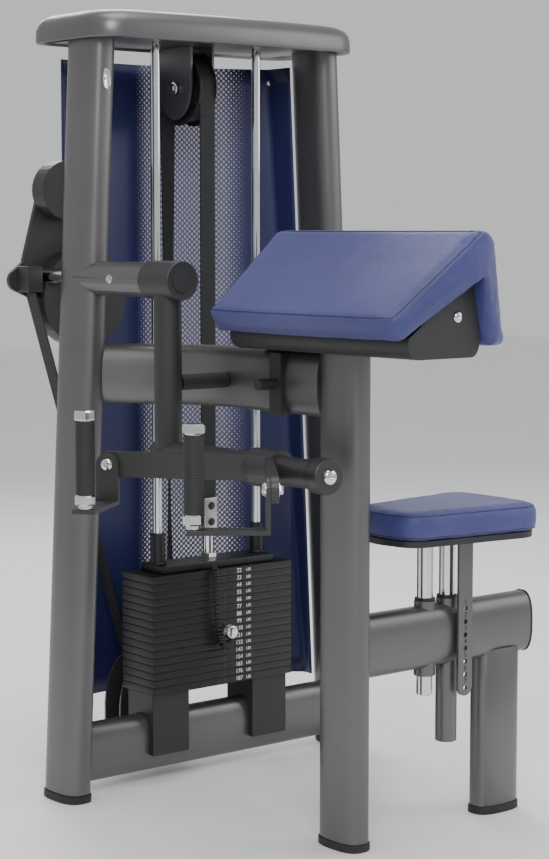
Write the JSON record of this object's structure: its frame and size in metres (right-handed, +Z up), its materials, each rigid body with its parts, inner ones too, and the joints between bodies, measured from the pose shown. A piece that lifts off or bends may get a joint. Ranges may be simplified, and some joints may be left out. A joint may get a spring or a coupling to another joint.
{
  "type": "arm_curl_machine",
  "caption": "Seated arm-curl machine: weight-stack tower, sloped arm pad, height-set seat and a swinging two-grip lever",
  "frame": {"origin": "on the floor under the middle of the bounding box", "axes": "+Z up; X runs along the tower from the lever side (-X) to the plain upright (+X), and the user sits facing -X; +Y is the back of the tower, the seat and arm pad are on the -Y side"},
  "size_m": [1.0492, 1.1386, 1.633],
  "materials": {
    "frame_paint": "silver-grey metallic powder coat, semi-gloss",
    "dark_paint": "graphite powder coat, satin",
    "chrome": "polished chrome",
    "rubber": "black rubber and woven belt, matt",
    "plate_iron": "black painted iron plates, satin",
    "black_plastic": "black moulded plastic",
    "vinyl": "blue-violet upholstery vinyl with a fine grain",
    "tinted_sheet": "blue finely perforated sheet"
  },
  "bodies": {
    "frame": {"left_upright": "frame_paint", "left_foot": "rubber", "right_upright": "frame_paint", "right_foot": "rubber", "lower_beam": "frame_paint", "top_plate": "frame_paint", "top_cap": "frame_paint", "guide_rod_left": "chrome", "stack_rest_left": "black_plastic", "guide_rod_right": "chrome", "stack_rest_right": "black_plastic", "resting_plates": "plate_iron", "pulley_hanger": "dark_paint", "low_pulley_carrier": "frame_paint", "belt_over_top": "rubber", "belt_lift_run": "rubber", "belt_rear_run": "rubber", "belt_cam_run": "rubber", "main_tube": "frame_paint", "pad_post": "frame_paint", "pad_post_foot": "rubber", "seat_beam": "frame_paint", "rear_leg": "frame_paint", "rear_leg_foot": "rubber", "seat_sleeve_front": "frame_paint", "seat_sleeve_rear": "frame_paint", "arm_pad": "vinyl", "pad_bracket": "dark_paint", "lever_stop": "rubber", "tube_saddle": "dark_paint", "pivot_tube": "frame_paint", "rear_shroud": "tinted_sheet"},
    "stack": {"lifted_plates": "plate_iron", "stack_head": "plate_iron", "selector_stem": "chrome", "belt_anchor": "frame_paint", "lanyard": "black_plastic"},
    "pin": {"selector_pin": "chrome"},
    "top_pulley_wheel": {"top_pulley": "black_plastic"},
    "low_pulley_wheel": {"low_pulley": "black_plastic"},
    "lever": {"cross_tube": "dark_paint", "lever_tube": "dark_paint", "lever_hub": "dark_paint", "pivot_shaft": "chrome", "vee_bar": "dark_paint", "cam": "dark_paint", "counterweight_arm": "dark_paint", "belt_clamp": "dark_paint"},
    "left_handle": {"left_bracket": "dark_paint", "left_grip_post": "chrome", "left_grip": "rubber"},
    "right_handle": {"right_bracket": "dark_paint", "right_grip_post": "chrome", "right_grip": "rubber"},
    "seat": {"seat_pad": "vinyl", "seat_board": "black_plastic", "seat_rod_front": "chrome", "seat_rod_rear": "chrome", "seat_index_plate": "frame_paint"},
    "latch": {"index_latch": "black_plastic"}
  },
  "joints": [
    {"name": "stack_lift", "type": "slide", "parent": "frame", "child": "stack", "axis": [0, 0, 1], "range_m": [0, 0.27], "deforming": ["belt_lift_run"]},
    {"name": "lever_swing", "type": "hinge", "parent": "frame", "child": "lever", "pos_m": [-0.20593, 0.07872, 1.087], "axis": [0, 1, 0], "range_deg": [0, 125], "deforming": ["belt_cam_run"]},
    {"name": "top_pulley_spin", "type": "hinge", "parent": "frame", "child": "top_pulley_wheel", "pos_m": [0.11107, 0.43872, 1.488], "axis": [1, 0, 0], "range_deg": [-220, 0]},
    {"name": "low_pulley_spin", "type": "hinge", "parent": "frame", "child": "low_pulley_wheel", "pos_m": [0.06607, 0.50872, 0.15], "axis": [0, 1, 0], "range_deg": [0, 360]},
    {"name": "left_handle_swivel", "type": "hinge", "parent": "lever", "child": "left_handle", "pos_m": [-0.39093, 0.01372, 0.746], "axis": [-0.8004, -0.5995, 0], "range_deg": [-60, 60]},
    {"name": "right_handle_swivel", "type": "hinge", "parent": "lever", "child": "right_handle", "pos_m": [-0.39093, -0.48028, 0.746], "axis": [0.8004, -0.5995, 0], "range_deg": [-60, 60]},
    {"name": "seat_slide", "type": "slide", "parent": "frame", "child": "seat", "axis": [0, 0, 1], "range_m": [-0.0534, 0.1068]},
    {"name": "latch_slide", "type": "slide", "parent": "frame", "child": "latch", "axis": [0, -1, 0], "range_m": [0, 0.006]},
    {"name": "selector_pin_pull", "type": "slide", "parent": "stack", "child": "pin", "axis": [0, -1, 0], "range_m": [0, 0.06]}
  ],
  "couplings": [
    {"joint": "lever_swing", "follows": "stack_lift", "rad_per_m": 8},
    {"joint": "top_pulley_spin", "follows": "stack_lift", "rad_per_m": -13.928},
    {"joint": "low_pulley_spin", "follows": "stack_lift", "rad_per_m": 22.831}
  ]
}
